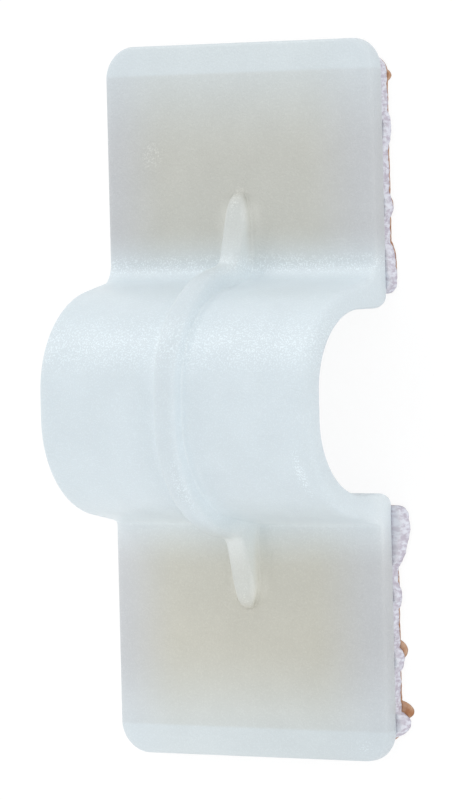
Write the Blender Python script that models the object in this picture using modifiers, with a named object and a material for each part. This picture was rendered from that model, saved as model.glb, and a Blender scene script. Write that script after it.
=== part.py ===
"""Nylon cable clip with two self-adhesive feet, in metres.

The cable runs along X, the two flanges spread along Y and +Z is up. The origin lies
under the middle of the clip, level with the undersides of the two release liners.
"""

import math

import bmesh
import bpy
from mathutils import Euler

# Clip body: one moulding of even wall, bent like a hat over the cable
CLIP_WIDTH = 0.0175  # along the cable
CLIP_LENGTH = 0.0393  # over both flanges
CORNER_RADIUS = 0.00166  # flange corners, seen from above
FLANGE_THICKNESS = 0.0010
END_BAND_SLOPE = math.radians(8)  # of the strip between the corners at each end
CHANNEL_WIDTH = 0.0100
CHANNEL_HEIGHT = 0.0070  # from the flange underside to the roof of the channel
ROOF_FLAT = 0.0014  # the stretch between the two round corners of the channel's roof
WALL_THICKNESS = 0.0013
WALL_SPLAY = math.radians(11.5)  # how far the arch's outer sides lean out to the flanges
MOUTH_FLARE_WIDTH = 0.00065
MOUTH_FLARE_HEIGHT = 0.0012
UPPER_ROOT_FILLET = 0.0010  # where the arch stands on the flange at +Y
LOWER_ROOT_FILLET = 0.0002  # where it stands on the other, in a nearly sharp corner
FLANGE_EDGE_ROUNDING = 0.00018
ARCH_EDGE_ROUNDING = 0.00045

# Stiffening rib: a band over the arch that runs out along both flanges
RIB_WIDTH = 0.00145
RIB_CROWN_HEIGHT = 0.00085
RIB_SIDE_HEIGHT = 0.00115
RIB_ROUNDING = 0.0004
RIB_ROOT = 0.0004  # how deep the rib is fused into the wall below it
GUSSET_LENGTH = 0.00468  # from the foot of the arch to the rib's tip
GUSSET_TIP_HEIGHT = 0.0003
GUSSET_FILLET = 0.0008  # between the gusset's back and the rib on the arch
GUSSET_SHOULDER_DROP = 0.0008  # from the rib's round part down to that fillet

# Adhesive feet: a foam pad under each flange with its release liner still on
FOAM_THICKNESS = 0.0006
LINER_THICKNESS = 0.00012
SEAT_CLEARANCE = 0.00004  # between the flange, the foam and the liner
FOOT_INNER_MARGIN = 0.0001  # from the channel mouth
FOOT_OUTER_MARGIN = 0.0010  # from the flange's outer end
FOOT_SIDE_MARGIN = 0.00005  # from the flange's sides
FOOT_CORNER_RADIUS = 0.0005

# Where the tape was torn along +X: the place and half length of each lump as shares of
# the foot's length, counted from the channel, and how far the lump stands out
UPPER_FOAM_LUMPS = ((0.08, 0.13, 0.00038), (0.37, 0.05, 0.00022), (0.70, 0.07, 0.00022))
UPPER_LINER_LUMPS = ((0.12, 0.10, 0.00034), (0.37, 0.04, 0.00017), (0.91, 0.03, 0.0003))
LOWER_FOAM_LUMPS = (
    (0.08, 0.18, 0.00083),
    (0.38, 0.06, 0.00022),
    (0.91, 0.07, 0.0003),
)
LOWER_LINER_LUMPS = ((0.09, 0.15, 0.0004), (0.60, 0.045, 0.0004), (0.86, 0.055, 0.00073))

# Fineness of the round stretches
ARC_STEP = math.radians(7.5)
EDGE_SEGMENTS = 4
SHARP_ANGLE = math.radians(30)
FLAT_ANGLE = math.radians(0.5)
WELD_DISTANCE = 0.000001

FOOT_HEIGHT = LINER_THICKNESS + FOAM_THICKNESS + 2 * SEAT_CLEARANCE
CHANNEL_SIDE = CHANNEL_WIDTH / 2
ROOF_RADIUS = CHANNEL_SIDE - ROOF_FLAT / 2
ROOF_CENTRE = (CHANNEL_SIDE - ROOF_RADIUS, CHANNEL_HEIGHT - ROOF_RADIUS)
ARCH_RADIUS = ROOF_RADIUS + WALL_THICKNESS
FLANGE_END = CLIP_LENGTH / 2
RIB_TOP = CHANNEL_HEIGHT + WALL_THICKNESS + RIB_CROWN_HEIGHT
TRIM_ALLOWANCE = CORNER_RADIUS  # stock outside the finished outline
FOOT_START = CHANNEL_SIDE + MOUTH_FLARE_WIDTH + FOOT_INNER_MARGIN
FOOT_END = FLANGE_END - FOOT_OUTER_MARGIN
FOOT_SIDE = CLIP_WIDTH / 2 - FOOT_SIDE_MARGIN


def clear_scene():
    for old in list(bpy.data.objects):
        bpy.data.objects.remove(old)


def new_collection(name):
    collection = bpy.data.collections.new(name)
    bpy.context.scene.collection.children.link(collection)
    return collection


def new_material(name, colour, roughness):
    material = bpy.data.materials.new(name)
    material.use_nodes = True
    shader = material.node_tree.nodes["Principled BSDF"]
    shader.inputs["Base Color"].default_value = (*colour, 1.0)
    shader.inputs["Roughness"].default_value = roughness
    shader.inputs["Metallic"].default_value = 0.0
    return material


def arc(centre, radius, start, end):
    """Points on an arc, both ends included, between two angles in degrees.

    radius is one number, or the two half axes of an ellipse.
    """
    wide, high = radius if isinstance(radius, tuple) else (radius, radius)
    turn = math.radians(end - start)
    steps = max(2, math.ceil(abs(turn) / ARC_STEP))
    angles = [math.radians(start) + turn * i / steps for i in range(steps + 1)]
    return [
        (centre[0] + wide * math.cos(a), centre[1] + high * math.sin(a)) for a in angles
    ]


def turned(angle, length=1.0):
    """A step of a length in a direction, both in the section's plane."""
    return (length * math.cos(angle), length * math.sin(angle))


def moved(point, step):
    return (point[0] + step[0], point[1] + step[1])


def fillet_centre(first, second, radius):
    """Centre of a fillet between two lines, each a point and the direction it faces."""
    (nx, ny), (mx, my) = turned(first[1]), turned(second[1])
    n_reach = first[0][0] * nx + first[0][1] * ny + radius
    m_reach = second[0][0] * mx + second[0][1] * my + radius
    cross = nx * my - ny * mx
    return ((n_reach * my - m_reach * ny) / cross, (nx * m_reach - mx * n_reach) / cross)


def joined(upper, lower):
    """A closed outline from two halves, both drawn at +Y from the middle to the middle.

    The second one is mirrored to -Y.
    """
    return upper + [(-across, up) for across, up in reversed(lower)]


def extruded(name, outline, depth, collection, place=(0, 0, 0), turn=(0, 0, 0)):
    """A closed outline filled and extruded to both sides, as a mesh object."""
    curve = bpy.data.curves.new(name, "CURVE")
    curve.dimensions = "2D"
    curve.fill_mode = "BOTH"
    curve.extrude = depth / 2
    spline = curve.splines.new("POLY")
    spline.points.add(len(outline) - 1)
    for point, (x, y) in zip(spline.points, outline):
        point.co = (x, y, 0, 1)
    spline.use_cyclic_u = True
    guide = bpy.data.objects.new(name + "_outline", curve)
    guide.location = place
    guide.rotation_euler = Euler(turn)
    collection.objects.link(guide)
    bpy.context.view_layer.update()

    seen = guide.evaluated_get(bpy.context.evaluated_depsgraph_get())
    solid = bpy.data.objects.new(name, bpy.data.meshes.new_from_object(seen))
    solid.matrix_world = guide.matrix_world.copy()
    collection.objects.link(solid)
    bpy.data.objects.remove(guide)
    join_flat_faces(solid)
    return solid


def join_flat_faces(solid):
    """Merges doubled points, and makes one face of those that lie in one plane."""
    shape = bmesh.new()
    shape.from_mesh(solid.data)
    bmesh.ops.remove_doubles(shape, verts=shape.verts, dist=WELD_DISTANCE)
    bmesh.ops.recalc_face_normals(shape, faces=shape.faces)
    bmesh.ops.dissolve_limit(
        shape, angle_limit=FLAT_ANGLE, verts=shape.verts, edges=shape.edges
    )
    shape.to_mesh(solid.data)
    shape.free()


def add_boolean(target, operation, tool):
    step = target.modifiers.new(operation.title(), "BOOLEAN")
    step.operation = operation
    step.solver = "EXACT"
    step.object = tool


def freeze(target):
    """The object's modifiers applied to its mesh."""
    bpy.context.view_layer.update()
    seen = target.evaluated_get(bpy.context.evaluated_depsgraph_get())
    target.data = bpy.data.meshes.new_from_object(seen)
    target.modifiers.clear()
    join_flat_faces(target)


def hide_tool(tool):
    tool.hide_render = True
    tool.display_type = "WIRE"


def half_section(root_fillet):
    """Half the section across the cable, as (across, up) from the flange underside."""
    mouth_centre = (CHANNEL_SIDE + MOUTH_FLARE_WIDTH, MOUTH_FLARE_HEIGHT)
    arch_side = (moved(ROOF_CENTRE, turned(WALL_SPLAY, ARCH_RADIUS)), WALL_SPLAY)
    flange_top = ((0, FLANGE_THICKNESS), math.radians(90))
    root_centre = fillet_centre(arch_side, flange_top, root_fillet)
    splay = math.degrees(WALL_SPLAY)
    stock_end = FLANGE_END + TRIM_ALLOWANCE
    fall = (CORNER_RADIUS + TRIM_ALLOWANCE) * math.tan(END_BAND_SLOPE)
    half = arc(ROOF_CENTRE, ROOF_RADIUS, 90, 0)
    half += arc(mouth_centre, (MOUTH_FLARE_WIDTH, MOUTH_FLARE_HEIGHT), 180, 270)
    half.append((stock_end, 0))
    half.append((stock_end, FLANGE_THICKNESS - fall))
    half.append((FLANGE_END - CORNER_RADIUS, FLANGE_THICKNESS))
    half += arc(root_centre, root_fillet, 270, 180 + splay)
    half += arc(ROOF_CENTRE, ARCH_RADIUS, splay, 90)
    return half


def section_outline():
    """The whole hat-shaped section: its two sides differ in their root fillets."""
    return joined(half_section(UPPER_ROOT_FILLET), half_section(LOWER_ROOT_FILLET))


def plan_outline():
    """The clip seen from above: a rectangle with round corners, as (along, across)."""
    along = CLIP_WIDTH / 2 - CORNER_RADIUS
    across = FLANGE_END - CORNER_RADIUS
    centres = ((along, across), (-along, across), (-along, -across), (along, -across))
    outline = []
    for quarter, centre in enumerate(centres):
        outline += arc(centre, CORNER_RADIUS, 90 * quarter, 90 * quarter + 90)
    return outline


def arch_foot():
    """How far out the arch's side, drawn on past its fillet, meets the flange's top."""
    side = moved(ROOF_CENTRE, turned(WALL_SPLAY, ARCH_RADIUS))
    return side[0] + (side[1] - FLANGE_THICKNESS) * math.tan(WALL_SPLAY)


def rib_outline():
    """The rib and both gussets in one band, as (across, up) from the flange underside.

    From the crown it widens over the arch, leans out with the arch's side to a fillet,
    and falls from there in a straight back to the gusset's blunt tip on the flange.
    """
    rib_radius = ARCH_RADIUS + RIB_SIDE_HEIGHT
    rib_centre = (ROOF_CENTRE[0], RIB_TOP - rib_radius)
    round_end = moved(rib_centre, turned(WALL_SPLAY, rib_radius))
    shoulder = moved(round_end, turned(WALL_SPLAY - math.pi / 2, GUSSET_SHOULDER_DROP))
    centre = moved(shoulder, turned(WALL_SPLAY, GUSSET_FILLET))
    tip = (arch_foot() + GUSSET_LENGTH, FLANGE_THICKNESS + GUSSET_TIP_HEIGHT)
    to_centre = (tip[0] - centre[0], centre[1] - tip[1])
    back_slope = math.atan2(to_centre[1], to_centre[0])
    back_slope -= math.asin(GUSSET_FILLET / math.hypot(*to_centre))
    splay = math.degrees(WALL_SPLAY)
    embedded_radius = ARCH_RADIUS - RIB_ROOT
    embedded = FLANGE_THICKNESS - RIB_ROOT
    half = arc(ROOF_CENTRE, embedded_radius, 90, 0)
    half.append((ROOF_CENTRE[0] + embedded_radius, embedded))
    half.append((tip[0], embedded))
    half.append(tip)
    half += arc(centre, GUSSET_FILLET, 270 - math.degrees(back_slope), 180 + splay)
    half += arc(rib_centre, rib_radius, splay, 90)
    return joined(half, half)


def outside_channel(across, up):
    """How far a point of the section lies outside the channel's surface."""
    beyond_side = max(abs(across) - ROOF_CENTRE[0], 0)
    above_spring = max(up - ROOF_CENTRE[1], 0)
    return math.hypot(beyond_side, above_spring) - ROOF_RADIUS


def body_rounding(across, up):
    """Share of the arch's rounding that a sharp edge of the body gets.

    The arch's outer edges get all of it and the other edges that of the flanges. It
    grows over the root fillet, so that one runs into the other.
    """
    least = FLANGE_EDGE_ROUNDING / ARCH_EDGE_ROUNDING
    if outside_channel(across, up) < WALL_THICKNESS / 2:
        return least
    root_fillet = UPPER_ROOT_FILLET if across > 0 else LOWER_ROOT_FILLET
    rise = (up - FLANGE_THICKNESS) / root_fillet
    return least + (1 - least) * min(max(rise, 0), 1)


def rib_rounding(across, up):
    """1 on the rib's edges that show and 0 on those fused into the wall."""
    in_flange = up < FLANGE_THICKNESS - RIB_ROOT + WELD_DISTANCE
    in_arch = outside_channel(across, up) < WALL_THICKNESS - RIB_ROOT + WELD_DISTANCE
    return 0 if in_flange or in_arch else 1


def round_edges(solid, width, share):
    """Bevels the sharp edges by width, times the share for each edge's place."""
    shape = bmesh.new()
    shape.from_mesh(solid.data)
    weight = shape.edges.layers.float.new("bevel_weight_edge")
    for edge in shape.edges:
        if edge.calc_face_angle(0) > SHARP_ANGLE:
            middle = solid.matrix_world @ ((edge.verts[0].co + edge.verts[1].co) / 2)
            edge[weight] = share(middle.y, middle.z - FOOT_HEIGHT)
    shape.to_mesh(solid.data)
    shape.free()
    step = solid.modifiers.new("Rounded edges", "BEVEL")
    step.width = width
    step.segments = EDGE_SEGMENTS
    step.limit_method = "WEIGHT"
    step.use_clamp_overlap = False


def make_body(collection, tools, material):
    """The section extruded along the cable, trimmed to the plan, rounded and ribbed."""
    upright = (math.pi / 2, 0, math.pi / 2)
    foot_top = (0, 0, FOOT_HEIGHT)
    stock = CLIP_WIDTH + 2 * TRIM_ALLOWANCE
    body = extruded("clip_body", section_outline(), stock, collection, foot_top, upright)
    plan = extruded("plan_trim", plan_outline(), 4 * RIB_TOP, tools)
    rib = extruded("rib_form", rib_outline(), RIB_WIDTH, tools, foot_top, upright)
    hide_tool(plan)
    hide_tool(rib)
    add_boolean(body, "INTERSECT", plan)
    freeze(body)
    round_edges(body, ARCH_EDGE_ROUNDING, body_rounding)
    round_edges(rib, RIB_ROUNDING, rib_rounding)
    add_boolean(body, "UNION", rib)
    finish(body, material)


def lump(place, lumps):
    """How far the torn edge stands out at a place: the highest of its rounded lumps."""
    reach = 0
    for centre, half_length, height in lumps:
        away = (place - centre) / half_length
        if abs(away) < 1:
            reach = max(reach, height * math.sqrt(1 - away * away))
    return reach


def foot_outline(side, lumps):
    """A foot's layer seen from above, torn along +X; side is 1 at +Y and -1 at -Y."""
    length = FOOT_END - FOOT_START
    last = 1 - FOOT_CORNER_RADIUS / length
    places = {0.0, last}
    for centre, half_length, _ in lumps:
        places |= {centre + half_length * math.sin(math.pi * k / 12) for k in range(-6, 7)}
    torn = [
        (FOOT_SIDE + lump(place, lumps), FOOT_START + place * length)
        for place in sorted(places)
        if 0 <= place <= last
    ]
    corner_x = FOOT_SIDE - FOOT_CORNER_RADIUS
    corner_y = FOOT_END - FOOT_CORNER_RADIUS
    outline = torn
    outline += arc((corner_x, corner_y), FOOT_CORNER_RADIUS, 0, 90)[1:]
    outline += arc((-corner_x, corner_y), FOOT_CORNER_RADIUS, 90, 180)
    outline.append((-FOOT_SIDE, FOOT_START))
    return [(x, side * y) for x, y in outline]


def make_layer(name, outline, bottom, thickness, collection, material):
    """One layer of a foot, its underside at the height bottom."""
    place = (0, 0, bottom + thickness / 2)
    layer = extruded(name, outline, thickness, collection, place)
    finish(layer, material)


def finish(solid, material):
    solid.data.materials.clear()
    solid.data.materials.append(material)
    solid.data.shade_smooth()
    solid.data.set_sharp_from_angle(angle=SHARP_ANGLE)


def make_feet(collection, foam, liner):
    foam_bottom = LINER_THICKNESS + SEAT_CLEARANCE
    feet = (
        ("upper", 1, UPPER_FOAM_LUMPS, UPPER_LINER_LUMPS),
        ("lower", -1, LOWER_FOAM_LUMPS, LOWER_LINER_LUMPS),
    )
    for place, side, foam_lumps, liner_lumps in feet:
        pad = foot_outline(side, foam_lumps)
        sheet = foot_outline(side, liner_lumps)
        make_layer(f"{place}_foam_pad", pad, foam_bottom, FOAM_THICKNESS, collection, foam)
        make_layer(f"{place}_release_liner", sheet, 0, LINER_THICKNESS, collection, liner)


def main():
    clear_scene()
    parts = new_collection("cable_clip")
    tools = new_collection("cutters")
    nylon = new_material("natural_nylon", (0.80, 0.83, 0.83), 0.42)
    foam = new_material("white_foam_tape", (0.72, 0.71, 0.76), 0.85)
    paper = new_material("brown_liner_paper", (0.50, 0.28, 0.13), 0.70)
    make_body(parts, tools, nylon)
    make_feet(parts, foam, paper)


main()
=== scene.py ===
"""Adhesive cable clip: a milky nylon moulding on torn foam tape with its brown liner.

The clip's own sizes below are in millimetres, and MM turns them into the scene's metres.
The cable runs along X, the flanges spread along Y and +Z is up. Widths, lengths and
heights that the frame already has are read from it.
"""

import math

import bmesh
import bpy
import numpy as np
from mathutils import Matrix, Vector


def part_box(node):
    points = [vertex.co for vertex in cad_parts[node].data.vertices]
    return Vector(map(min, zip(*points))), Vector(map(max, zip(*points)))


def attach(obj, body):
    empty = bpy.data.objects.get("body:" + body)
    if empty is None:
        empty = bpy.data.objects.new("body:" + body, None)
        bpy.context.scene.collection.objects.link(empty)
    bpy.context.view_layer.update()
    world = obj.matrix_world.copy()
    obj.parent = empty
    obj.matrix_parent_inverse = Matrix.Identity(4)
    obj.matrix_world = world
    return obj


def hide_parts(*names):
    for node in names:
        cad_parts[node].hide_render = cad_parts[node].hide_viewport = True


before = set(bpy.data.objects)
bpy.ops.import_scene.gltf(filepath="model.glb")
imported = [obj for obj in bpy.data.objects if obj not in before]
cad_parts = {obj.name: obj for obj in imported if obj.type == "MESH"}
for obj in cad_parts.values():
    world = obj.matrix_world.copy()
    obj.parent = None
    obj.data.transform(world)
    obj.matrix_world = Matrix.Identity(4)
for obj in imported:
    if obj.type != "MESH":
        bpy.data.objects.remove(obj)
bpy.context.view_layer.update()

MM = 0.001

# The moulding's section across the cable
FLANGE_THICKNESS = 1.0
CORNER_RADIUS = 1.66  # of the flanges in plan, which is also how far the sloping end reaches
END_SLOPE = math.tan(math.radians(8))
CREASE_SOFTNESS = 0.05
CHANNEL_SIDE = 5.0
CHANNEL_HEIGHT = 7.0
ROOF_FLAT = 1.4
WALL_THICKNESS = 1.3
WALL_SPLAY = 11.5  # degrees
MOUTH_FLARE = (0.65, 1.2)
UPPER_ROOT_FILLET = 1.0
LOWER_ROOT_FILLET = 0.2
FLANGE_EDGE = 0.18
ARCH_EDGE = 0.45
EDGE_GROWTH = 0.9  # height over the flange in which the first rounding grows to the second

# The rib over the arch and its gussets on the flanges
RIB_HALF_WIDTH = 0.725
RIB_SIDE_HEIGHT = 1.15
RIB_ROUNDING = 0.42
RIB_FOOT_FILLET = 0.16
RIB_DRAFT = 4.0  # degrees
GUSSET_LENGTH = 4.68
GUSSET_TIP_HEIGHT = 0.3
GUSSET_FILLET = 0.8
GUSSET_SHOULDER_DROP = 0.8
NOSE_LENGTH = 0.7  # over which the gusset's back rounds down to the flange
NOSE_TAPER = 1.9  # over which its plan narrows
NOSE_NARROWING = 0.9  # by which the square of its half width shrinks there
THINNEST_RIB = 0.3  # a lower rib has the section of this one, pressed flat
ROUNDING_LIMIT = 0.6  # of the rib's height
FOOT_FILLET_LIMIT = 0.3  # of the rib's height
NARROWEST_BACK = 0.02  # half width of the level top

# Painted light: the nylon's colour is whitened in the inner corners, beside the rib and at the
# arch's roots, to lift the shade that falls there
RIB_PAINTED_LIGHT = 0.6
GUSSET_PAINTED_LIGHT = 1.3
GUSSET_FOOT_SHARE = 0.55  # how much of it is left at the gusset's foot
GUSSET_PAINTED_LIGHT_START = 0.3  # the rise over the flange at which it is full
RIB_PAINTED_LIGHT_REACH = 0.5
ARCHED_HEIGHT = (2.0, 4.5)  # between which the gusset's painted light passes into the rib's
UPPER_ROOT_PAINTED_LIGHT = (0.2, 1.2)  # amount and reach
LOWER_ROOT_PAINTED_LIGHT = (0.8, 2.2)
ROOT_RISE = 0.25  # over the flange, where the root's corner is taken to be
# painted shade, taken off the colour along the rib's level ridge over the arch
RIDGE_PAINTED_SHADE = 0.35
PAINTED_LIGHT_STRENGTH = 0.13
PAINTED_LIGHT_TONE = 0.22  # share of the whiter nylon colour that the painted light mixes in

# Slow changes of the nylon's shade, a random mottle, painted light at the lower left and painted
# shade at the lower end: the stretches they take, and by how much
NYLON_MOTTLE = 0.015
LOWER_HALF = (0.0, -9.0)
LEFTWARDS = (9.0, -7.0)
LOWER_LEFT_PAINTED_LIGHT = 0.08
LOWER_END_LENGTH = 1.0
LOWER_END_PAINTED_SHADE = 0.035

# The tape: lumps of its torn edge as (start, peak, end, reach), counted from the middle
TAPE_CORNER = 0.5
TORN_NEAR_CORNER = 0.5
TORN_FAR_CORNER = 0.9
LINER_SHORTNESS = 0.07  # by which the liner falls short of the foam, between its lumps
UPPER_FOAM_LUMPS = (
    (5.1, 6.8, 8.5, 0.36),
    (9.9, 10.5, 11.2, 0.20),
    (13.9, 14.8, 15.7, 0.20),
)
LOWER_FOAM_LUMPS = (
    (4.6, 6.8, 9.1, 0.80),
    (9.9, 10.6, 11.4, 0.20),
    (13.5, 14.0, 14.8, 0.3),
    (17.0, 17.6, 18.4, 0.6),
)
UPPER_LINER_LUMPS = (
    (6.0, 7.3, 8.6, 0.32),
    (10.0, 10.5, 11.0, 0.2),
    (17.3, 17.6, 17.9, 0.22),
)
LOWER_LINER_LUMPS = (
    (5.0, 6.9, 8.8, 0.42),
    (13.1, 13.7, 14.2, 0.46),
    (16.4, 17.0, 17.5, 0.8),
)
LUMP_FULLNESS = 0.7  # the lower, the fuller the lumps
LUMP_LEAN = 0.25  # share of a lump that is gone at the top of its layer

# The waves of the torn edge, the slowest in radians per millimetre
FOAM_RAGGEDNESS = 0.09
LINER_RAGGEDNESS = 0.05
FOAM_WAVES = 3.1
LINER_WAVES = 2.3
WAVE_COUNT = 5
WAVE_FINENESS = 1.7  # how much finer each wave is than the one before
WAVE_DECLINE = 1.35  # and how much lower
WAVE_LEAN = 0.8
WAVE_SUM = 2.6  # about the height of them all together
WAVES_BELOW = 0.6  # share of them at the bottom of a layer
WAVES_GROWTH = 0.8  # and how much more at its top

# Faint round marks that the mould left on the flanges, as ((x, y), radius)
MOULD_MARKS = (((-5.7, 13.6), 0.85), ((2.0, -8.6), 0.35), ((-0.35, -16.0), 0.3))
MARK_SOFTNESS = (0.22, 0.04)  # from its ring, where a mark begins and is full
MARK_HEIGHT = 0.4  # share of the grain's relief

# Painted glints: patches where bright specks lighten the colour in place of the lamps' glints, and
# a faint grain over all, as (centre, half size, strength)
SPECK_FINENESS = 1.7  # of the noise they come from, against the grain
SPECK_LEVEL = (0.54, 0.62)  # of that noise
PATCH_SOFTNESS = (1.0, 0.1)  # shares of the half size, where a patch begins and is full
EVERYWHERE = 60.0
GRAIN_AND_PAINTED_GLINT_PATCHES = (
    ((0.0, 3.4, 0.0), (EVERYWHERE, 2.6, EVERYWHERE), 0.19),
    ((0.0, 7.5, 0.0), (EVERYWHERE, 0.9, EVERYWHERE), 0.2),
    ((0.3, -4.4, 0.0), (0.6, 2.6, EVERYWHERE), 0.2),
    ((7.7, -3.6, 0.0), (0.55, 2.1, EVERYWHERE), 0.25),
    ((7.2, -18.8, 0.0), (0.9, 0.6, EVERYWHERE), 0.16),
    ((-5.7, 13.6, 0.0), (1.2, 1.2, EVERYWHERE), 0.22),
    ((0.0, 11.0, 0.0), (0.5, 1.6, EVERYWHERE), 0.2),
    ((0.1, -10.8, 0.0), (0.5, 1.4, EVERYWHERE), 0.16),
    ((0.0, 0.0, 0.0), (EVERYWHERE, EVERYWHERE, EVERYWHERE), 0.05),
)

# Where the tape shows through the nylon, as stretches, and how much of it shows
UPPER_TAPE_START = (7.0, 9.7)
LOWER_TAPE_START = (-6.2, -9.4)
TAPE_LEFT = (-8.9, -4.6)
TAPE_RIGHT = (8.4, 4.0)
TAPE_TONE_CHANGE = (-1.0, 1.0)
GUSSET_RISE = (1.85, 2.5)
TAPE_UNDER_GUSSET = 0.7
TAPE_PAST_CREASE = 0.2
TAPE_AT_CREASE = 0.45
TAPE_CREASE = (0.12, -0.1)  # past the crease, where the first share turns into the second
TAPE_GROWTH_START = 0.1  # past the crease, where it begins to grow from there
TAPE_WHOLE = 13.0  # where all of it shows, counted from the middle
TAPE_QUICKNESS = 0.6  # the lower, the sooner it shows

# The foam's look: its streaks, the strip along its torn side and its greyer top
STREAK_TURN = 50.0  # degrees
STREAK_STRETCH = (0.5, 1.6, 1.0)
TORN_STRIP = (0.6, 0.3)  # in from the moulding's edge
PLAIN_STREAKS = 0.25  # share of the streaks away from the torn side
GREY_TOP_START = 0.55  # share of the foot's height
GREY_TOP_STRENGTH = 0.45

# The finishes: what is the same all over each, and the depth of its grain
NYLON_FINISH = {
    "Roughness": 0.36,
    "IOR": 1.53,
    "Coat Roughness": 0.27,
    "Subsurface Weight": 0.15,
    "Subsurface Radius": (1.0, 1.0, 1.0),
    "Subsurface Scale": 1.3 * MM,
}
FOAM_FINISH = {"Roughness": 0.8}
LINER_FINISH = {"Roughness": 0.65}
NYLON_RELIEF = 0.03
FOAM_RELIEF = 0.04
LINER_RELIEF = 0.03
NYLON_MOTTLE_RANGE = (0.3, 0.7)  # of the noise
TAPE_MOTTLE_RANGE = (0.35, 0.65)

# How many points the grids have
CROWN_POINTS = 7
BOW_POINTS = 57
SIDE_POINTS = 13
FILLET_POINTS = 27
GUSSET_POINTS = (30, 22, 16)  # up to its taper, along the taper and round the nose
LEVEL_POINTS = (22, 9)  # from the nose to the zone beside the crease, and in that zone
CREASE_ZONE = 0.6
CORNER_POINTS = 17
RIB_ROUNDING_POINTS = 10
RIB_FILLET_POINTS = 7
PLAIN_POINTS = 41
PLAIN_CROWDING = 1.5  # the higher, the closer together by the rib
EDGE_POINTS = 8
END_FACE_POINTS = 5
LAYER_LENGTH_POINTS = 330
LAYER_WIDTH_POINTS = 21
FOAM_HEIGHT_POINTS = 13
LINER_HEIGHT_POINTS = 4
MERGE_DISTANCE = 0.0005  # within which the points of two grids are one

# Sizes that the frame gives, and what follows from them
CLIP_LOW, CLIP_HIGH = (np.array(corner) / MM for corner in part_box("clip_body"))
HALF_WIDTH = CLIP_HIGH[0]
HALF_LENGTH = CLIP_HIGH[1]
FOOT_HEIGHT = CLIP_LOW[2]
RIB_TOP = CLIP_HIGH[2] - FOOT_HEIGHT
ROOF_RADIUS = CHANNEL_SIDE - ROOF_FLAT / 2
CREASE = HALF_LENGTH - CORNER_RADIUS

# The camera: how it leans from straight above the clip's middle, and what it frames
VIEW_SIDEWAYS = 33.10  # degrees towards +X
VIEW_LENGTHWAYS = 2.12  # degrees towards +Y
VIEW_ROLL = 1.37  # degrees
VIEW_DISTANCE = 309.7
PIXELS_PER_MM = 18.17
IMAGE_SIZE = (453, 800)
CLIP_MIDDLE_PIXEL = 254.4  # the column of the image where the clip's middle lies
SENSOR = 36.0

# The floor, a hair below the liner so that the two never share a plane
FLOOR_REACH = 400.0
FLOOR_GAP = 0.03
FLOOR_GLOW = 1.06
FLOOR_GLOW_SHARE = 0.85

# The lamps, as (name, direction, distance, size, share of a white surface's light)
LAMPS = (
    ("key_light", (-0.55, 0.71, 0.46), 500, 70, 0.05),
    ("low_right_light", (0.7, -0.65, 0.2), 450, 50, 0.03),
    ("lower_left_light", (-0.55, -0.69, 0.49), 450, 50, 0.015),
)

# The light tent round the clip, as strengths: white at 1 lights a surface as it is written
TENT_HORIZON = 1.12
TENT_ZENITH = 0.88
TENT_LEAN = 0.12


def from_screen(red, green, blue):
    """A colour as it looks on a screen, 0 to 255, turned into the linear one nodes take."""
    levels = [level / 255 for level in (red, green, blue)]
    linear = [v / 12.92 if v <= 0.04045 else ((v + 0.055) / 1.055) ** 2.4 for v in levels]
    return (*linear, 1.0)


# The colours of the finishes
CLEAR_NYLON = from_screen(215, 226, 232)
NYLON_OVER_TAPE = from_screen(195, 196, 189)
NYLON_OVER_LOWER_TAPE = from_screen(196, 195, 184)
NYLON_OVER_TAPE_EDGE = from_screen(195, 198, 201)
# The whiter colour that the painted light mixes into the inner corners
PAINTED_LIGHT_NYLON = from_screen(240, 240, 238)
FOAM_WHITE = from_screen(234, 236, 246)
FOAM_SHADE = from_screen(200, 193, 206)
FOAM_TOP_GREY = from_screen(216, 219, 225)
LINER_BROWN = from_screen(176, 122, 84)
LINER_PALE = from_screen(206, 168, 140)
FLOOR_WHITE = from_screen(240, 240, 240)


def add_grid_piece(name, grids, material, painted_corner_light=None):
    """One closed mesh from grids of points in millimetres, as (points, wraps) pairs.

    A grid is an array (rows, columns, 3). Its faces join neighbours along both ways, and
    its last column to the first where it wraps. Grids that share a border are merged.
    The painted light is a number for each point of all grids, kept as an attribute of the mesh.
    """
    points, faces, first = [], [], 0
    for grid, wraps in grids:
        rows, columns = grid.shape[:2]
        index = first + np.arange(rows * columns).reshape(rows, columns)
        beside = np.roll(index, -1, axis=1) if wraps else index[:, 1:]
        here = index if wraps else index[:, :-1]
        quads = [here[:-1], beside[:-1], beside[1:], here[1:]]
        faces.append(np.stack(quads, axis=-1).reshape(-1, 4))
        points.append(grid.reshape(-1, 3))
        first += rows * columns
    mesh = bpy.data.meshes.new(name)
    mesh.from_pydata(np.concatenate(points) * MM, [], np.concatenate(faces).tolist())
    if painted_corner_light is not None:
        mesh.attributes.new("painted_corner_light", "FLOAT", "POINT").data.foreach_set("value", painted_corner_light)
    closed = bmesh.new()
    closed.from_mesh(mesh)
    bmesh.ops.remove_doubles(closed, verts=closed.verts, dist=MERGE_DISTANCE * MM)
    bmesh.ops.recalc_face_normals(closed, faces=closed.faces)
    closed.to_mesh(mesh)
    closed.free()
    mesh.shade_smooth()
    mesh.materials.append(material)
    piece = bpy.data.objects.new(name, mesh)
    bpy.context.scene.collection.objects.link(piece)
    return piece


def shares(count):
    return np.linspace(0.0, 1.0, count)


def eased(count):
    """Shares from 0 to 1 that lie closer together towards both ends."""
    return 0.5 - 0.5 * np.cos(np.pi * shares(count))


def on_line(first, last, share):
    """Points from first to last at the given shares of the way."""
    first, last = np.asarray(first, float), np.asarray(last, float)
    return first + (last - first) * share[:, None]


def on_arc(centre, radii, start, end, share):
    """Points centre + (radius * cos a, radius * sin a), the angle a going start to end."""
    angle = np.radians(start + (end - start) * share)
    circle = np.stack([np.cos(angle), np.sin(angle)], axis=1)
    return np.asarray(centre) + np.asarray(radii) * circle


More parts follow.
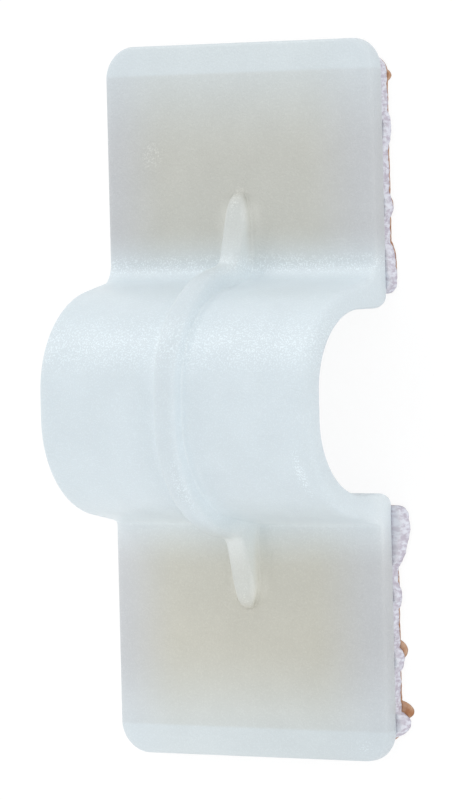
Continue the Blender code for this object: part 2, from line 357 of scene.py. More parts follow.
def direction(degrees):
    return np.array([math.cos(math.radians(degrees)), math.sin(math.radians(degrees))])


def fillet_centre(point, facing, height, radius):
    """Centre of a fillet that touches the level at a height and a line that leaves it.

    The line goes through the point and faces the given direction, and the centre lies a
    radius away from it and from the level.
    """
    out = direction(facing)
    up = height + radius
    return np.array([(point @ out + radius - up * out[1]) / out[0], up])


def flange_top(across):
    """Height of a flange's top: level, then falling past the crease, with a soft bend."""
    past = (across - CREASE) / CREASE_SOFTNESS
    return FLANGE_THICKNESS - END_SLOPE * CREASE_SOFTNESS * np.logaddexp(0.0, past)


def left_of(path):
    """Unit directions square to a path in the section, to the left of its way."""
    way = np.gradient(path, axis=0)
    way /= np.linalg.norm(way, axis=1)[:, None]
    return np.stack([-way[:, 1], way[:, 0]], axis=1)


def half_section(root_fillet):
    """Matched stations from the crown to the crease at +Y, as arrays of (across, up).

    The outer line is the arch, its splayed side, the root fillet and the flange's top.
    The inner line is the roof, the channel's side, its flared mouth and the underside.
    The rib's line is a flatter arch, its side, the fillet and the gusset's straight back,
    which ends in a quarter of an ellipse. Each stretch has as many stations on all three.
    The rib's half width and the size of the long edges' rounding come with them.
    """
    arch = ROOF_RADIUS + WALL_THICKNESS
    roof = np.array([ROOF_FLAT / 2, CHANNEL_HEIGHT - ROOF_RADIUS])
    rib_radius = arch + RIB_SIDE_HEIGHT
    rib_centre = np.array([roof[0], RIB_TOP - rib_radius])
    splay = math.tan(math.radians(WALL_SPLAY))
    side_end = roof + arch * direction(WALL_SPLAY)
    root = fillet_centre(side_end, WALL_SPLAY, FLANGE_THICKNESS, root_fillet)
    foot = side_end[0] + (side_end[1] - FLANGE_THICKNESS) * splay
    rib_end = rib_centre + rib_radius * direction(WALL_SPLAY)
    shoulder = rib_end + GUSSET_SHOULDER_DROP * direction(WALL_SPLAY - 90)
    bend = shoulder + GUSSET_FILLET * direction(WALL_SPLAY)
    tip = np.array([foot + GUSSET_LENGTH, FLANGE_THICKNESS + GUSSET_TIP_HEIGHT])
    away = bend - tip
    touching = math.asin(GUSSET_FILLET / np.linalg.norm(away))
    back = math.degrees(math.atan2(away[1], -away[0]) - touching)
    back_start = bend - GUSSET_FILLET * direction(90 - back)
    mouth = np.array([CHANNEL_SIDE + MOUTH_FLARE[0], MOUTH_FLARE[1]])

    crown, bow = shares(CROWN_POINTS), shares(BOW_POINTS)[1:]
    side, fillet = shares(SIDE_POINTS)[1:], eased(FILLET_POINTS)[1:]
    outer = [
        on_line((0, roof[1] + arch), (roof[0], roof[1] + arch), crown),
        on_arc(roof, arch, 90, WALL_SPLAY, bow),
        on_line(side_end, root - root_fillet * direction(WALL_SPLAY), side),
        on_arc(root, root_fillet, 180 + WALL_SPLAY, 270, fillet),
    ]
    inner = [
        on_line((0, CHANNEL_HEIGHT), (roof[0], CHANNEL_HEIGHT), crown),
        on_arc(roof, ROOF_RADIUS, 90, 0, bow),
        on_line((CHANNEL_SIDE, roof[1]), (CHANNEL_SIDE, mouth[1]), side),
        on_arc(mouth, MOUTH_FLARE, 180, 270, fillet),
    ]
    ridge = [
        on_line((0, RIB_TOP), (roof[0], RIB_TOP), crown),
        on_arc(rib_centre, rib_radius, 90, WALL_SPLAY, bow),
        on_line(rib_end, shoulder, side),
        on_arc(bend, GUSSET_FILLET, 180 + WALL_SPLAY, 270 - back, fillet),
    ]
    nose = tip[0] - NOSE_LENGTH
    back_points, taper_points, nose_points = GUSSET_POINTS
    level_points, crease_points = LEVEL_POINTS
    stretches = [
        np.linspace(root[0], tip[0] - NOSE_TAPER, back_points),
        np.linspace(tip[0] - NOSE_TAPER, nose, taper_points),
        nose + NOSE_LENGTH * np.sin(0.5 * np.pi * shares(nose_points)),
        np.linspace(tip[0], CREASE - CREASE_ZONE, level_points),
        np.linspace(CREASE - CREASE_ZONE, CREASE, crease_points),
    ]
    along = np.concatenate([stretch[1:] for stretch in stretches])
    outer.append(np.stack([along, flange_top(along)], axis=1))
    lag = 1 - np.clip((along - root[0]) / (nose - root[0]), 0, 1)
    inner.append(np.stack([along + (mouth[0] - root[0]) * lag, 0 * along], axis=1))
    above = on_line(back_start, tip, np.clip((along - root[0]) / (tip[0] - root[0]), 0, 1))
    rounded = np.sqrt(1 - np.clip((along - nose) / NOSE_LENGTH, 0, 1) ** 2)
    ridge.append(outer[-1] + (above - outer[-1]) * rounded[:, None])
    outer, inner, ridge = (np.concatenate(line) for line in (outer, inner, ridge))

    taper = np.clip((outer[:, 0] - tip[0] + NOSE_TAPER) / NOSE_TAPER, 0, 1)
    rib_width = RIB_HALF_WIDTH * np.sqrt(1 - NOSE_NARROWING * taper**2)
    rise = np.clip((outer[:, 1] - FLANGE_THICKNESS) / EDGE_GROWTH, 0, 1)
    edge = FLANGE_EDGE + (ARCH_EDGE - FLANGE_EDGE) * rise * rise * (3 - 2 * rise)
    return outer, inner, ridge, rib_width, edge


def rib_across(half_width, height):
    """The rib's half section at each station, from its middle to its foot.

    A level top, a rounding, a drafted flank and a small fillet at the foot. It returns
    how far out each point lies and its share of the height, both (stations, points).
    """
    height = np.maximum(height, THINNEST_RIB)[:, None]
    half_width = half_width[:, None]
    draft = math.radians(RIB_DRAFT)
    rounding = np.minimum(RIB_ROUNDING, ROUNDING_LIMIT * height)
    fillet = np.minimum(RIB_FOOT_FILLET, FOOT_FILLET_LIMIT * height)
    flank = half_width - (height - rounding) * math.tan(draft)
    middle = np.maximum(flank - rounding / math.cos(draft), NARROWEST_BACK)
    rounding = (flank - middle) * math.cos(draft)
    turn = np.linspace(math.pi / 2, draft, RIB_ROUNDING_POINTS)[None, :]
    top_out = middle + rounding * np.cos(turn)
    top_up = height - rounding + rounding * np.sin(turn)
    swing = np.linspace(math.pi / 2 - draft, 0, RIB_FILLET_POINTS)[None, :]
    foot = half_width - fillet * math.tan(draft) + fillet / math.cos(draft)
    foot_out = foot - fillet * np.sin(swing)
    foot_up = fillet - fillet * np.cos(swing)
    out = np.concatenate([0 * middle, top_out, foot_out], axis=1)
    up = np.concatenate([height, top_up, foot_up], axis=1)
    return out, up / height


def painted_corner_light_of(outer, root_painted_light, height, out, rise):
    """How much painted light each point of the top gets near an inner corner, where shade falls.

    One corner runs along the foot of the rib. Its painted light lies over the rib's flank, up to
    the ridge as 1 - (rise / height)^4, and falls off out over the plain nylon as the bell
    curve exp(-(out / reach)^2). On a gusset a share of it is left at the foot, and it
    grows to the whole with the rise. The other corner is the arch's root, where the painted
    light falls off as exp(-distance / reach). Along the rib's level ridge over the arch,
    painted shade is taken off.
    """
    there = np.clip(height / THINNEST_RIB - 1, 0, 1)
    start, end = ARCHED_HEIGHT
    arched = np.clip((outer[:, 1:] - start) / (end - start), 0, 1)
    most = there * (GUSSET_PAINTED_LIGHT + (RIB_PAINTED_LIGHT - GUSSET_PAINTED_LIGHT) * arched)
    ridge = (rise / np.maximum(height, THINNEST_RIB)) ** 4
    beside_rib = most * (1 - ridge) * np.exp(-((out / RIB_PAINTED_LIGHT_REACH) ** 2))
    grown = GUSSET_FOOT_SHARE + (1 - GUSSET_FOOT_SHARE) * np.clip(rise / GUSSET_PAINTED_LIGHT_START, 0, 1)
    beside_rib *= np.maximum(arched, grown)
    foot = outer[np.argmax(outer[:, 1] < FLANGE_THICKNESS + ROOT_RISE)]
    amount, reach = root_painted_light
    by_root = amount * np.exp(-np.linalg.norm(outer - foot, axis=1) / reach)[:, None]
    return np.maximum(beside_rib, by_root) - RIDGE_PAINTED_SHADE * there * arched * ridge


def moulding_half(root_fillet, root_painted_light):
    """The half at +Y: rings of points, one at each station, its end patch and its painted light.

    At each station of the path the section is a flat bar across the cable. Its top
    carries the rib, its long edges are quarter rounds and its underside is level. Past
    the crease the bars shorten round the corners, a corner's angle standing for the
    station, and a patch of the same edge profile closes the end.
    """
    outer, inner, ridge, rib_width, edge = half_section(root_fillet)
    outer_out, inner_out = left_of(outer), -left_of(inner)
    outer_out[0], inner_out[0] = (0, 1), (0, -1)
    corner = np.radians(np.linspace(0, 90, CORNER_POINTS))[1:]
    turn = np.concatenate([np.zeros(len(outer)), corner])[:, None]
    outer, inner, ridge, rib_width, edge, outer_out, inner_out = (
        np.concatenate([line, np.repeat(line[-1:], len(corner), axis=0)])
        for line in (outer, inner, ridge, rib_width, edge, outer_out, inner_out)
    )
    edge = edge[:, None]
    low_edge = np.full_like(edge, FLANGE_EDGE)

    def half_length(inset):
        return HALF_WIDTH - CORNER_RADIUS + (CORNER_RADIUS - inset) * np.cos(turn)

    def placed(line, inset, drop=0.0, out=None):
        """Points of the section: each station's, moved round a corner and in by drop."""
        points = np.repeat(line[:, None, :], inset.shape[1], axis=1)
        points[:, :, 0] += (CORNER_RADIUS - inset) * np.sin(turn)
        return points if out is None else points - np.asarray(drop)[:, :, None] * out[:, None]

    def sloped(points):
        fall = flange_top(points[:, :, 0]) - flange_top(CREASE)
        points[:, :, 1] += np.where(points[:, :, 0] > CREASE, fall, 0)
        return points

    lift = ridge - outer
    height = np.linalg.norm(lift, axis=1)[:, None]
    rib_out, rib_up = rib_across(rib_width, height[:, 0])
    foot = rib_out[:, -1:]
    plain = foot + (half_length(edge) - foot) * shares(PLAIN_POINTS)[None, 1:] ** PLAIN_CROWDING
    top_x = np.concatenate([rib_out, plain], axis=1)
    top = sloped(placed(outer, np.repeat(edge, top_x.shape[1], axis=1)))
    top[:, : rib_out.shape[1]] += rib_up[:, :, None] * lift[:, None, :]

    quarter = np.linspace(math.pi / 2, 0, EDGE_POINTS)[None, :]
    top_inset, top_drop = edge * (1 - np.cos(quarter)), edge * (1 - np.sin(quarter))
    top_round = sloped(placed(outer, top_inset, top_drop, outer_out))
    swing = quarter[:, ::-1]
    low_inset, low_drop = low_edge * (1 - np.cos(swing)), low_edge * (1 - np.sin(swing))
    low_round = placed(inner, low_inset, low_drop, inner_out)
    face = shares(END_FACE_POINTS)[None, 1:-1, None]
    end_face = top_round[:, -1:] + (low_round[:, :1] - top_round[:, -1:]) * face
    face_x = half_length(np.zeros((1, face.shape[1])))
    low_x = (top_x / half_length(edge) * half_length(low_edge))[:, ::-1]
    low = placed(inner, np.full(low_x.shape, FLANGE_EDGE))

    x_parts = [top_x, half_length(top_inset)[:, 1:], face_x, half_length(low_inset), low_x[:, 1:]]
    half_x = np.concatenate(x_parts, axis=1)
    half_yz = np.concatenate([top, top_round[:, 1:], end_face, low_round, low[:, 1:]], axis=1)
    half_x = np.broadcast_to(half_x, half_yz.shape[:2])
    front = np.concatenate([half_x[:, :, None], half_yz], axis=2)
    rings = np.concatenate([front, front[:, -2:0:-1] * (-1, 1, 1)], axis=1)
    out = np.maximum(top_x - foot, 0)
    rise = np.concatenate([rib_up * height, 0 * plain], axis=1)
    # Painted light: how much each point's colour is whitened near an inner corner
    painted_corner_light = painted_corner_light_of(outer, root_painted_light, height, out, rise)
    beyond = np.repeat(painted_corner_light[:, -1:], front.shape[1] - painted_corner_light.shape[1], axis=1)
    painted_corner_light = np.concatenate([painted_corner_light, beyond], axis=1)
    painted_corner_light = np.concatenate([painted_corner_light, painted_corner_light[:, -2:0:-1]], axis=1)
    tops = top_x.shape[1]
    rim = front[-1, tops - 1 : front.shape[1] - tops + 1]
    spread = np.concatenate([-top_x[-1][:0:-1], top_x[-1]])
    patch = np.repeat(rim[None, :, :], len(spread), axis=0)
    patch[:, :, 0] = spread[:, None]
    up = (0, 0, FOOT_HEIGHT)
    return rings + up, patch + up, painted_corner_light


def make_moulding(material):
    """The nylon moulding: a closed ring of points carried over the hat from end to end."""
    upper, upper_end, upper_painted_light = moulding_half(UPPER_ROOT_FILLET, UPPER_ROOT_PAINTED_LIGHT)
    lower, lower_end, lower_painted_light = moulding_half(LOWER_ROOT_FILLET, LOWER_ROOT_PAINTED_LIGHT)
    over = (1, -1, 1)
    rings = np.concatenate([lower[:0:-1] * over, upper])
    # The painted light of the inner corners for each point, none on the end patches
    painted_corner_light = np.concatenate([lower_painted_light[:0:-1], upper_painted_light]).ravel()
    painted_corner_light = np.append(painted_corner_light, np.zeros((upper_end.size + lower_end.size) // 3))
    grids = [(rings, True), (upper_end, False), (lower_end * over, False)]
    return add_grid_piece("nylon_moulding", grids, material, painted_corner_light)


def lump_reach(along, lumps):
    """How far a torn edge stands out by its lumps.

    Each rises and falls as a quarter sine to the power of the fullness, times its reach.
    """
    reach = np.zeros_like(along)
    for start, peak, end, height in lumps:
        rising = np.clip((along - start) / (peak - start), 0, 1)
        falling = np.clip((end - along) / (end - peak), 0, 1)
        swell = np.sin(0.5 * np.pi * np.minimum(rising, falling))
        reach = np.maximum(reach, height * swell**LUMP_FULLNESS)
    return reach


def ragged(along, up, seed, fineness):
    """Uneven waves between about -1 and 1: a sum of sines with seeded leans and phases."""
    draw = np.random.default_rng(seed)
    total = np.zeros(np.broadcast(along, up).shape)
    for octave in range(WAVE_COUNT):
        lean, phase = draw.uniform(-WAVE_LEAN, WAVE_LEAN), draw.uniform(0, 2 * np.pi)
        wave = np.sin(fineness * WAVE_FINENESS**octave * (along + lean * up) + phase)
        total += wave / WAVE_DECLINE**octave
    return total / WAVE_SUM


def drawn_back(distance, radius):
    """How far a round corner draws a side back at a distance from the corner's end."""
    short = 1 - np.clip(distance / radius, 0, 1)
    return radius * (1 - np.sqrt(1 - short**2))


def make_layer(name, node, lumps, seed, shortness, raggedness, fineness, steps, material):
    """A layer of tape: a flat bar along the foot, cut on one side and torn at +X.

    The bar is a block of points x(along, up, across). Its cut wall follows the corner's
    quarter circle. Its torn wall stands out by the lumps, less towards the top, and by
    uneven waves, and is round at both ends. The block's six faces make the closed mesh.
    """
    low, high = (np.array(corner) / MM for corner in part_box(node))
    side = 1 if high[1] > 0 else -1
    near, far = sorted((abs(low[1]), abs(high[1])))
    along = np.linspace(near, far, LAYER_LENGTH_POINTS)[:, None, None]
    level = shares(steps)[None, :, None]
    up = (high[2] - low[2]) * level
    left = low[0] + drawn_back(far - along, TAPE_CORNER)
    waves = raggedness * (ragged(along, up, seed, fineness) - 1)
    lump = lump_reach(along, lumps) * (1 - LUMP_LEAN * level)
    right = -low[0] - shortness + lump + waves * (WAVES_BELOW + WAVES_GROWTH * level)
    ends = drawn_back(along - near, TORN_NEAR_CORNER) + drawn_back(far - along, TORN_FAR_CORNER)
    right = np.minimum(right, high[0]) - ends
    x = left + (right - left) * eased(LAYER_WIDTH_POINTS)[None, None, :]
    block = np.stack(np.broadcast_arrays(x, side * along, low[2] + up))
    block = np.moveaxis(block, 0, -1)
    faces = [block[:, 0], block[:, -1], block[:, :, 0], block[:, :, -1], block[0], block[-1]]
    return add_grid_piece(name, [(grid, False) for grid in faces], material)


def add_node(tree, kind, inputs=None, **settings):
    """A node with its settings, whose inputs take a value or another node's output."""
    node = tree.nodes.new(kind)
    for setting, value in settings.items():
        setattr(node, setting, value)
    for socket, value in (inputs or {}).items():
        if isinstance(value, bpy.types.NodeSocket):
            tree.links.new(value, node.inputs[socket])
        else:
            node.inputs[socket].default_value = value
    return node


def calculated(tree, operation, *values):
    inputs = dict(enumerate(values))
    return add_node(tree, "ShaderNodeMath", inputs, operation=operation).outputs[0]


def mixed_colour(tree, share, first, second):
    inputs = {"Factor": share, 6: first, 7: second}
    return add_node(tree, "ShaderNodeMix", inputs, data_type="RGBA").outputs[2]


def ramp(tree, value, start, end, low=0.0, high=1.0):
    """A soft step from low to high while the value goes from start to end."""
    inputs = {"Value": value, "From Min": start, "From Max": end, "To Min": low, "To Max": high}
    node = add_node(tree, "ShaderNodeMapRange", inputs, interpolation_type="SMOOTHSTEP")
    return node.outputs["Result"]


def ramp_over(tree, place, stretch, low=0.0, high=1.0):
    """A ramp while a coordinate runs through a stretch, which is in millimetres."""
    start, end = stretch
    return ramp(tree, place, start * MM, end * MM, low, high)


def mixed_shader(tree, share, first, second):
    inputs = {0: share, 1: first.outputs[0], 2: second.outputs[0]}
    return add_node(tree, "ShaderNodeMixShader", inputs)


def new_group(name, inputs, outputs):
    """An empty node group with its named sockets, and its input and output nodes."""
    group = bpy.data.node_groups.new(name, "ShaderNodeTree")
    for socket, kind, value in inputs:
        made = group.interface.new_socket(socket, in_out="INPUT", socket_type=kind)
        if value is not None:
            made.default_value = value
    for socket, kind in outputs:
        group.interface.new_socket(socket, in_out="OUTPUT", socket_type=kind)
    return group, group.nodes.new("NodeGroupInput"), group.nodes.new("NodeGroupOutput")


def make_grain_group():
    """Fine grain of a surface: a height for bumps, its shiny tips and a slow mottle."""
    group, given, result = new_group(
        "surface_grain",
        [
            ("Vector", "NodeSocketVector", None),
            ("Grain per mm", "NodeSocketFloat", 8.0),
            ("Mottle per mm", "NodeSocketFloat", 0.5),
        ],
        [
            ("Height", "NodeSocketFloat"),
            ("Tips", "NodeSocketFloat"),
            ("Mottle", "NodeSocketFloat"),
        ],
    )
    fine = calculated(group, "MULTIPLY", given.outputs["Grain per mm"], 1 / MM)
    slow = calculated(group, "MULTIPLY", given.outputs["Mottle per mm"], 1 / MM)
    place = given.outputs["Vector"]
    finer = calculated(group, "MULTIPLY", fine, SPECK_FINENESS)
    grain = add_node(group, "ShaderNodeTexNoise", {"Vector": place, "Scale": fine, "Detail": 2.0})
    tips = add_node(group, "ShaderNodeTexNoise", {"Vector": place, "Scale": finer, "Detail": 1.0})
    mottle = add_node(group, "ShaderNodeTexNoise", {"Vector": place, "Scale": slow, "Detail": 3.0})
    group.links.new(grain.outputs["Fac"], result.inputs["Height"])
    group.links.new(ramp(group, tips.outputs["Fac"], *SPECK_LEVEL), result.inputs["Tips"])
    group.links.new(mottle.outputs["Fac"], result.inputs["Mottle"])
    return group


def make_backing_group():
    """Where the tape shows through the nylon, and where it does so with its warm tone.

    It begins past the arch's root and grows from the crease inwards. Its tone is bluish
    near the long edges, and the thicker gussets hide some of it.
    """
    group, given, result = new_group(
        "tape_showing_through",
        [("Vector", "NodeSocketVector", None)],
        [("Mask", "NodeSocketFloat"), ("Warmth", "NodeSocketFloat")],
    )
    x, y, z = add_node(group, "ShaderNodeSeparateXYZ", {"Vector": given.outputs["Vector"]}).outputs
    out = calculated(group, "ABSOLUTE", y)
    upper, lower = ramp_over(group, y, UPPER_TAPE_START), ramp_over(group, y, LOWER_TAPE_START)
    near = calculated(group, "POWER", calculated(group, "ADD", upper, lower), TAPE_QUICKNESS)
    grown = ramp_over(group, out, (CREASE + TAPE_GROWTH_START, TAPE_WHOLE))
    grown = calculated(group, "POWER", grown, TAPE_QUICKNESS)
    crease = [CREASE + past for past in TAPE_CREASE]
    start = ramp_over(group, out, crease, TAPE_PAST_CREASE, TAPE_AT_CREASE)
    far = calculated(group, "MULTIPLY_ADD", grown, 1 - TAPE_AT_CREASE, start)
    deep = ramp_over(group, z, GUSSET_RISE, 1.0, TAPE_UNDER_GUSSET)
    mask = calculated(group, "MULTIPLY", calculated(group, "MULTIPLY", near, far), deep)
    left, right = ramp_over(group, x, TAPE_LEFT), ramp_over(group, x, TAPE_RIGHT)
    group.links.new(mask, result.inputs["Mask"])
    group.links.new(calculated(group, "MULTIPLY", left, right), result.inputs["Warmth"])
    return group


def make_ring_mark_group():
    """A faint round mark of the mould: 1 on a thin ring about a centre, else 0."""
    group, given, result = new_group(
        "round_mould_mark",
        [
            ("Vector", "NodeSocketVector", None),
            ("Centre", "NodeSocketVector", None),
            ("Radius", "NodeSocketFloat", 0.9 * MM),
        ],
        [("Mask", "NodeSocketFloat")],
    )
    ends = {0: given.outputs["Vector"], 1: given.outputs["Centre"]}
    away = add_node(group, "ShaderNodeVectorMath", ends, operation="DISTANCE").outputs["Value"]
    miss = calculated(group, "SUBTRACT", away, given.outputs["Radius"])
    miss = calculated(group, "ABSOLUTE", miss)
    group.links.new(ramp_over(group, miss, MARK_SOFTNESS), result.inputs["Mask"])
    return group


def make_patch_group():
    """A soft oval patch: 1 about its centre, falling to 0 at its half size."""
    group, given, result = new_group(
        "soft_patch",
        [
            ("Vector", "NodeSocketVector", None),
            ("Centre", "NodeSocketVector", None),
            ("Half Size", "NodeSocketVector", None),
        ],
        [("Mask", "NodeSocketFloat")],
    )
    ends = {0: given.outputs["Vector"], 1: given.outputs["Centre"]}
    away = add_node(group, "ShaderNodeVectorMath", ends, operation="SUBTRACT").outputs["Vector"]
    ends = {0: away, 1: given.outputs["Half Size"]}
    away = add_node(group, "ShaderNodeVectorMath", ends, operation="DIVIDE").outputs["Vector"]
    away = add_node(group, "ShaderNodeVectorMath", {0: away}, operation="LENGTH").outputs["Value"]
    group.links.new(ramp(group, away, *PATCH_SOFTNESS), result.inputs["Mask"])
    return group


def empty_material(name):
    material = bpy.data.materials.new(name)
    material.use_nodes = True
    material.node_tree.nodes.clear()
    return material, material.node_tree


def start_material(name, finish):
    """A material and its nodes, whose surface has the finish's values all over."""
    material, tree = empty_material(name)
    place = tree.nodes.new("ShaderNodeTexCoord").outputs["Object"]
    surface = add_node(tree, "ShaderNodeBsdfPrincipled", finish)
    add_node(tree, "ShaderNodeOutputMaterial", {"Surface": surface.outputs[0]})
    return material, tree, place, surface


def use_group(tree, group, inputs):
    return add_node(tree, "ShaderNodeGroup", inputs, node_tree=group).outputs


def add_bump(tree, surface, height, depth):
    """Feed a height into the surface's normal; depth is the relief's real size in mm."""
    inputs = {"Height": height, "Distance": depth * MM, "Strength": 1.0}
    bump = add_node(tree, "ShaderNodeBump", inputs)
    tree.links.new(bump.outputs["Normal"], surface.inputs["Normal"])


def make_nylon(grain, backing, ring_mark, patch):
    """Nylon whose tone turns to the tape's where that shows through, with mottle and painted light.

    The shade is 1, plus a random mottle, the painted light of the inner corners and of the
    lower left, and the painted glints with a faint grain, less the painted shade of the lower
    end. The glints and grain also carry a thin coat.
    """
    material, tree, place, surface = start_material("milky_nylon", NYLON_FINISH)
    over_tape = use_group(tree, backing, {"Vector": place})
    texture = use_group(tree, grain, {"Vector": place, "Grain per mm": 7.0, "Mottle per mm": 0.45})
    x, y, _ = add_node(tree, "ShaderNodeSeparateXYZ", {"Vector": place}).outputs
    upper = ramp_over(tree, y, TAPE_TONE_CHANGE)
    tape_tone = mixed_colour(tree, upper, NYLON_OVER_LOWER_TAPE, NYLON_OVER_TAPE)
    tape_tone = mixed_colour(tree, over_tape["Warmth"], NYLON_OVER_TAPE_EDGE, tape_tone)
    colour = mixed_colour(tree, over_tape["Mask"], CLEAR_NYLON, tape_tone)
    mottle = (*NYLON_MOTTLE_RANGE, 1 - NYLON_MOTTLE, 1 + NYLON_MOTTLE)
    shade = ramp(tree, texture["Mottle"], *mottle)
    # Painted light: the colour is whitened in the inner corners, where shade falls
    painted_corner_light = add_node(tree, "ShaderNodeAttribute", attribute_name="painted_corner_light").outputs["Fac"]
    shade = calculated(tree, "MULTIPLY_ADD", painted_corner_light, PAINTED_LIGHT_STRENGTH, shade)
    # Painted light: the lower half is lighter towards the left
    lower, left = ramp_over(tree, y, LOWER_HALF), ramp_over(tree, x, LEFTWARDS)
    lower_left = calculated(tree, "MULTIPLY", lower, left)
    shade = calculated(tree, "MULTIPLY_ADD", lower_left, LOWER_LEFT_PAINTED_LIGHT, shade)
    # Painted shade: the lower flange's sloping end is darkened
    lower_end = ramp_over(tree, y, (LOWER_END_LENGTH - CREASE, -CREASE))
    shade = calculated(tree, "MULTIPLY_ADD", lower_end, -LOWER_END_PAINTED_SHADE, shade)
    # Painted glints: bright specks lighten the colour in patches where the lamps glint, with a
    # faint grain all over; they also carry a thin coat
    grain_and_painted_glints = 0.0
    for centre, half_size, strength in GRAIN_AND_PAINTED_GLINT_PATCHES:
        inputs = {"Centre": Vector(centre) * MM, "Half Size": Vector(half_size) * MM}
        here = use_group(tree, patch, {"Vector": place, **inputs})["Mask"]
        grain_and_painted_glints = calculated(tree, "MAXIMUM", grain_and_painted_glints, calculated(tree, "MULTIPLY", here, strength))
    grain_and_painted_glints = calculated(tree, "MULTIPLY", grain_and_painted_glints, texture["Tips"])
    shade = calculated(tree, "ADD", grain_and_painted_glints, shade)
    # Painted light: a whiter colour mixed into the inner corners
    toned = calculated(tree, "MULTIPLY", painted_corner_light, PAINTED_LIGHT_TONE)
    colour = mixed_colour(tree, toned, colour, PAINTED_LIGHT_NYLON)
    inputs = {"Color": colour, "Value": shade}
    colour = add_node(tree, "ShaderNodeHueSaturation", inputs).outputs["Color"]
    tree.links.new(colour, surface.inputs["Base Color"])
    tree.links.new(grain_and_painted_glints, surface.inputs["Coat Weight"])
    height = texture["Height"]
    for centre, radius in MOULD_MARKS:
        centre = Vector((*centre, FOOT_HEIGHT + FLANGE_THICKNESS)) * MM
        inputs = {"Vector": place, "Centre": centre, "Radius": radius * MM}
        mark = use_group(tree, ring_mark, inputs)["Mask"]
        height = calculated(tree, "MULTIPLY_ADD", mark, MARK_HEIGHT, height)
    add_bump(tree, surface, height, NYLON_RELIEF)
    return material


def make_foam(grain):
    """Foam with slanting streaks, strongest along its torn side, and greyer towards its top."""
    material, tree, place, surface = start_material("white_foam_tape", FOAM_FINISH)
    turn = (0, 0, math.radians(STREAK_TURN))
    inputs = {"Vector": place, "Rotation": turn, "Scale": STREAK_STRETCH}
    torn_way = add_node(tree, "ShaderNodeMapping", inputs).outputs["Vector"]
    inputs = {"Vector": torn_way, "Grain per mm": 6.0, "Mottle per mm": 3.2}
    texture = use_group(tree, grain, inputs)
    x, _, z = add_node(tree, "ShaderNodeSeparateXYZ", {"Vector": place}).outputs
    start, end = TORN_STRIP
    torn = ramp_over(tree, x, (HALF_WIDTH - start, HALF_WIDTH - end), PLAIN_STREAKS, 1.0)
    share = ramp(tree, texture["Mottle"], *TAPE_MOTTLE_RANGE)
    share = calculated(tree, "MULTIPLY", share, torn)
    colour = mixed_colour(tree, share, FOAM_WHITE, FOAM_SHADE)
    grey_top = ramp_over(tree, z, (FOOT_HEIGHT * GREY_TOP_START, FOOT_HEIGHT), 0.0, GREY_TOP_STRENGTH)
    tree.links.new(mixed_colour(tree, grey_top, colour, FOAM_TOP_GREY), surface.inputs["Base Color"])
    add_bump(tree, surface, texture["Height"], FOAM_RELIEF)
    return material


def make_liner(grain):
    material, tree, place, surface = start_material("brown_liner_paper", LINER_FINISH)
    texture = use_group(tree, grain, {"Vector": place, "Grain per mm": 5.0, "Mottle per mm": 2.2})
    share = ramp(tree, texture["Mottle"], *TAPE_MOTTLE_RANGE)
    colour = mixed_colour(tree, share, LINER_BROWN, LINER_PALE)
    tree.links.new(colour, surface.inputs["Base Color"])
    add_bump(tree, surface, texture["Height"], LINER_RELIEF)
    return material


def background_seen(tree):
    """1 for rays that see the backdrop itself: from the camera, a gloss or clear matter."""
    path = tree.nodes.new("ShaderNodeLightPath")
    seen = calculated(tree, "MAXIMUM", path.outputs["Is Camera Ray"], path.outputs["Is Glossy Ray"])
    return calculated(tree, "MAXIMUM", seen, path.outputs["Is Transmission Ray"])


def make_floor():
    """A pale floor that keeps a faint shadow, and looks white where none falls.

    It is clear from below, so that the clip's underside can be seen.
    """
    material, tree = empty_material("pale_floor")
    matt = add_node(tree, "ShaderNodeBsdfDiffuse", {"Color": FLOOR_WHITE})
    glow = add_node(tree, "ShaderNodeEmission", {"Color": (1, 1, 1, 1), "Strength": FLOOR_GLOW})
    clear = tree.nodes.new("ShaderNodeBsdfTransparent")
    from_below = tree.nodes.new("ShaderNodeNewGeometry").outputs["Backfacing"]
    bright = mixed_shader(tree, FLOOR_GLOW_SHARE, matt, glow)
    chosen = mixed_shader(tree, background_seen(tree), matt, bright)
    chosen = mixed_shader(tree, from_below, chosen, clear)
    add_node(tree, "ShaderNodeOutputMaterial", {"Surface": chosen.outputs[0]})
    mesh = bpy.data.meshes.new("floor")
    corners = [(-1, -1), (1, -1), (1, 1), (-1, 1)]
    corners = [(FLOOR_REACH * x * MM, FLOOR_REACH * y * MM, -FLOOR_GAP * MM) for x, y in corners]
    mesh.from_pydata(corners, [], [(0, 1, 2, 3)])
    mesh.materials.append(material)
    floor = bpy.data.objects.new("floor", mesh)
    bpy.context.scene.collection.objects.link(floor)


def make_world():
    """A light tent: its walls are brighter than its top, and those at +Y the brightest.

    The light from a direction is HORIZON + (ZENITH - HORIZON) * its height + LEAN * y.
    """
    world = bpy.data.worlds.new("light_tent")
    world.use_nodes = True
    bpy.context.scene.world = world
    tree = world.node_tree
    tree.nodes.clear()
    way = tree.nodes.new("ShaderNodeTexCoord").outputs["Generated"]
    _, y, z = add_node(tree, "ShaderNodeSeparateXYZ", {"Vector": way}).outputs
    height = calculated(tree, "ABSOLUTE", z)
    falling = calculated(tree, "MULTIPLY_ADD", height, TENT_ZENITH - TENT_HORIZON, TENT_HORIZON)
    given = calculated(tree, "MULTIPLY_ADD", y, TENT_LEAN, falling)
    seen = background_seen(tree)
    strength = calculated(tree, "SUBTRACT", 1.0, seen)
    strength = calculated(tree, "MULTIPLY_ADD", strength, given, seen)
    sky = add_node(tree, "ShaderNodeBackground", {"Color": (1, 1, 1, 1), "Strength": strength})
    add_node(tree, "ShaderNodeOutputWorld", {"Surface": sky.outputs[0]})


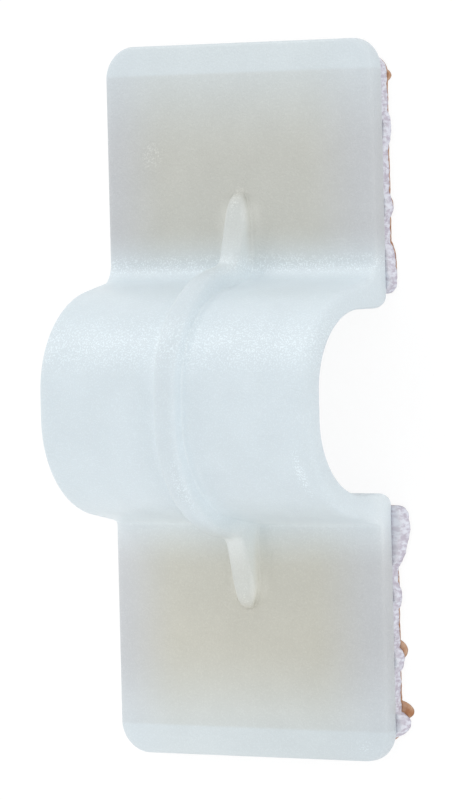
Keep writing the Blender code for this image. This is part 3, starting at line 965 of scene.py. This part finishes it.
def add_light(name, towards, distance, size, share):
    """A square lamp in the given direction that lights a facing white surface by share."""
    lamp = bpy.data.lights.new(name, "AREA")
    lamp.size = size * MM
    lamp.energy = share * (math.pi * distance * MM) ** 2
    light = bpy.data.objects.new(name, lamp)
    way = Vector(towards).normalized()
    light.location = way * distance * MM
    light.rotation_euler = way.to_track_quat("Z", "Y").to_euler()
    bpy.context.scene.collection.objects.link(light)


def add_camera():
    """The camera looks at the clip's middle, then turns so that it lies left of centre."""
    side, length = math.radians(VIEW_SIDEWAYS), math.radians(VIEW_LENGTHWAYS)
    back = Vector(
        (math.sin(side) * math.cos(length), math.sin(length), math.cos(side) * math.cos(length))
    )
    right = Vector((math.cos(side), 0, -math.sin(side)))
    up = back.cross(right)
    turned = Matrix.Rotation(math.radians(VIEW_ROLL), 3, -back)
    right, up = turned @ right, turned @ up
    focal = VIEW_DISTANCE * PIXELS_PER_MM
    place = Vector((0, 0, FOOT_HEIGHT)) + back * VIEW_DISTANCE
    shift = (CLIP_MIDDLE_PIXEL - IMAGE_SIZE[0] / 2) / focal
    back, right = (back + shift * right).normalized(), (right - shift * back).normalized()
    data = bpy.data.cameras.new("camera")
    data.sensor_fit = "VERTICAL"
    data.sensor_height = SENSOR
    data.lens = focal / IMAGE_SIZE[1] * SENSOR
    camera = bpy.data.objects.new("camera", data)
    axes = Matrix((right, up, back)).transposed().to_4x4()
    camera.matrix_world = Matrix.Translation(place * MM) @ axes
    bpy.context.scene.collection.objects.link(camera)
    bpy.context.scene.camera = camera


def finish_piece(piece, node):
    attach(piece, "root")
    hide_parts(node)


def main():
    grain = make_grain_group()
    nylon = make_nylon(grain, make_backing_group(), make_ring_mark_group(), make_patch_group())
    foam, liner = make_foam(grain), make_liner(grain)
    finish_piece(make_moulding(nylon), "clip_body")
    kinds = {
        "foam_tape": (0.0, FOAM_RAGGEDNESS, FOAM_WAVES, FOAM_HEIGHT_POINTS, foam),
        "liner_paper": (LINER_SHORTNESS, LINER_RAGGEDNESS, LINER_WAVES, LINER_HEIGHT_POINTS, liner),
    }
    layers = (
        ("upper_foam_tape", "upper_foam_pad", "foam_tape", UPPER_FOAM_LUMPS, 3),
        ("lower_foam_tape", "lower_foam_pad", "foam_tape", LOWER_FOAM_LUMPS, 5),
        ("upper_liner_paper", "upper_release_liner", "liner_paper", UPPER_LINER_LUMPS, 7),
        ("lower_liner_paper", "lower_release_liner", "liner_paper", LOWER_LINER_LUMPS, 11),
    )
    for name, node, slot, lumps, seed in layers:
        finish_piece(make_layer(name, node, lumps, seed, *kinds[slot]), node)
    make_floor()
    make_world()
    for lamp in LAMPS:
        add_light(*lamp)
    add_camera()
    bpy.context.scene.view_settings.view_transform = "Standard"


main()
